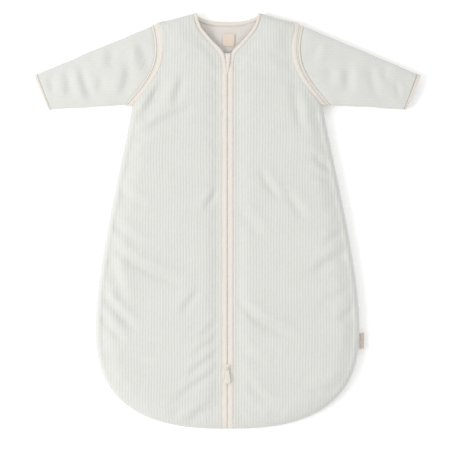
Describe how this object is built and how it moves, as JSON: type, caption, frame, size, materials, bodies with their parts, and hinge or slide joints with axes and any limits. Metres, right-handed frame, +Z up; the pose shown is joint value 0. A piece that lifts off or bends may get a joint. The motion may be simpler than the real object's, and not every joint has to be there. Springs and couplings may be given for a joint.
{
  "type": "baby sleeping bag",
  "caption": "Long-sleeved padded baby sleeping bag lying flat, ribbed velvet, bound front zip from neck to hem, zip-off sleeves, bound neck, armholes and cuffs.",
  "frame": {"origin": "on the floor, under the middle of the bag's length and width", "axes": "+X to the right seen from above, +Y towards the neck, +Z up, out of the front of the bag"},
  "size_m": [0.654, 0.702, 0.0302],
  "materials": {
    "rib_velvet": "off-white ribbed velvet",
    "jersey": "matt cream jersey",
    "wadding": "white polyester wadding",
    "binding": "cream jersey binding",
    "zip_tape": "woven zip tape",
    "zip_coil": "nylon coil",
    "zip_hardware": "cream enamelled zinc",
    "neck_label": "plain woven satin label",
    "side_label": "plain woven label"
  },
  "bodies": {
    "bag": {"back_outer": "rib_velvet", "back_wadding": "wadding", "back_lining": "jersey", "front_left_outer": "rib_velvet", "front_left_wadding": "wadding", "front_left_lining": "jersey", "front_right_outer": "rib_velvet", "front_right_wadding": "wadding", "front_right_lining": "jersey", "hem_binding_left": "binding", "hem_binding_right": "binding", "back_neck_binding": "binding", "armhole_binding_left": "binding", "armhole_binding_right": "binding", "armhole_zip_left": "zip_coil", "armhole_zip_right": "zip_coil", "zip_tape_end_left": "zip_tape", "zip_tape_end_right": "zip_tape", "zip_bottom_stop": "zip_hardware", "side_and_hem_seam": "jersey", "shoulder_seam_left": "jersey", "shoulder_seam_right": "jersey", "neck_label": "neck_label", "side_label": "side_label"},
    "lapel_left": {"lapel_left_outer": "rib_velvet", "lapel_left_wadding": "wadding", "lapel_left_lining": "jersey", "front_binding_left": "binding", "zip_tape_left": "zip_tape", "zip_coil_left": "zip_coil", "zip_insertion_pin": "zip_hardware"},
    "lapel_right": {"lapel_right_outer": "rib_velvet", "lapel_right_wadding": "wadding", "lapel_right_lining": "jersey", "front_binding_right": "binding", "zip_tape_right": "zip_tape", "zip_coil_right": "zip_coil", "zip_retainer_box": "zip_hardware", "zip_guard": "binding"},
    "zip_slider": {"zip_slider": "zip_hardware"},
    "zip_pull": {"zip_pull": "zip_hardware"},
    "sleeve_head_left": {"sleeve_zip_left": "zip_tape", "sleeve_head_left": "rib_velvet", "sleeve_head_lining_left": "jersey"},
    "sleeve_left": {"sleeve_left": "rib_velvet", "sleeve_lining_left": "jersey", "cuff_binding_left": "binding"},
    "sleeve_head_right": {"sleeve_zip_right": "zip_tape", "sleeve_head_right": "rib_velvet", "sleeve_head_lining_right": "jersey"},
    "sleeve_right": {"sleeve_right": "rib_velvet", "sleeve_lining_right": "jersey", "cuff_binding_right": "binding"}
  },
  "joints": [
    {"name": "lapel_left_fold", "type": "hinge", "parent": "bag", "child": "lapel_left", "pos_m": [-0.011, -0.268, 0.0266], "axis": [0.0733, -0.9973, 0], "range_deg": [0, 150]},
    {"name": "lapel_right_fold", "type": "hinge", "parent": "bag", "child": "lapel_right", "pos_m": [0.011, -0.268, 0.0266], "axis": [0.0733, 0.9973, 0], "range_deg": [0, 150]},
    {"name": "zip_slide", "type": "slide", "parent": "lapel_left", "child": "zip_slider", "axis": [0, 1, 0], "range_m": [0, 0.487]},
    {"name": "pull_swing", "type": "hinge", "parent": "zip_slider", "child": "zip_pull", "pos_m": [0, -0.247, 0.0282], "axis": [-1, 0, 0], "range_deg": [0, 170]},
    {"name": "sleeve_left_off", "type": "slide", "parent": "bag", "child": "sleeve_head_left", "axis": [-0.9651, -0.262, 0], "range_m": [0, 0.12]},
    {"name": "sleeve_left_fold", "type": "hinge", "parent": "sleeve_head_left", "child": "sleeve_left", "pos_m": [-0.14765, 0.3218, 0.0236], "axis": [0.2561, 0.9666, 0], "range_deg": [0, 130]},
    {"name": "sleeve_right_off", "type": "slide", "parent": "bag", "child": "sleeve_head_right", "axis": [0.9651, -0.262, 0], "range_m": [0, 0.12]},
    {"name": "sleeve_right_fold", "type": "hinge", "parent": "sleeve_head_right", "child": "sleeve_right", "pos_m": [0.14765, 0.3218, 0.0236], "axis": [0.2561, -0.9666, 0], "range_deg": [0, 130]}
  ]
}
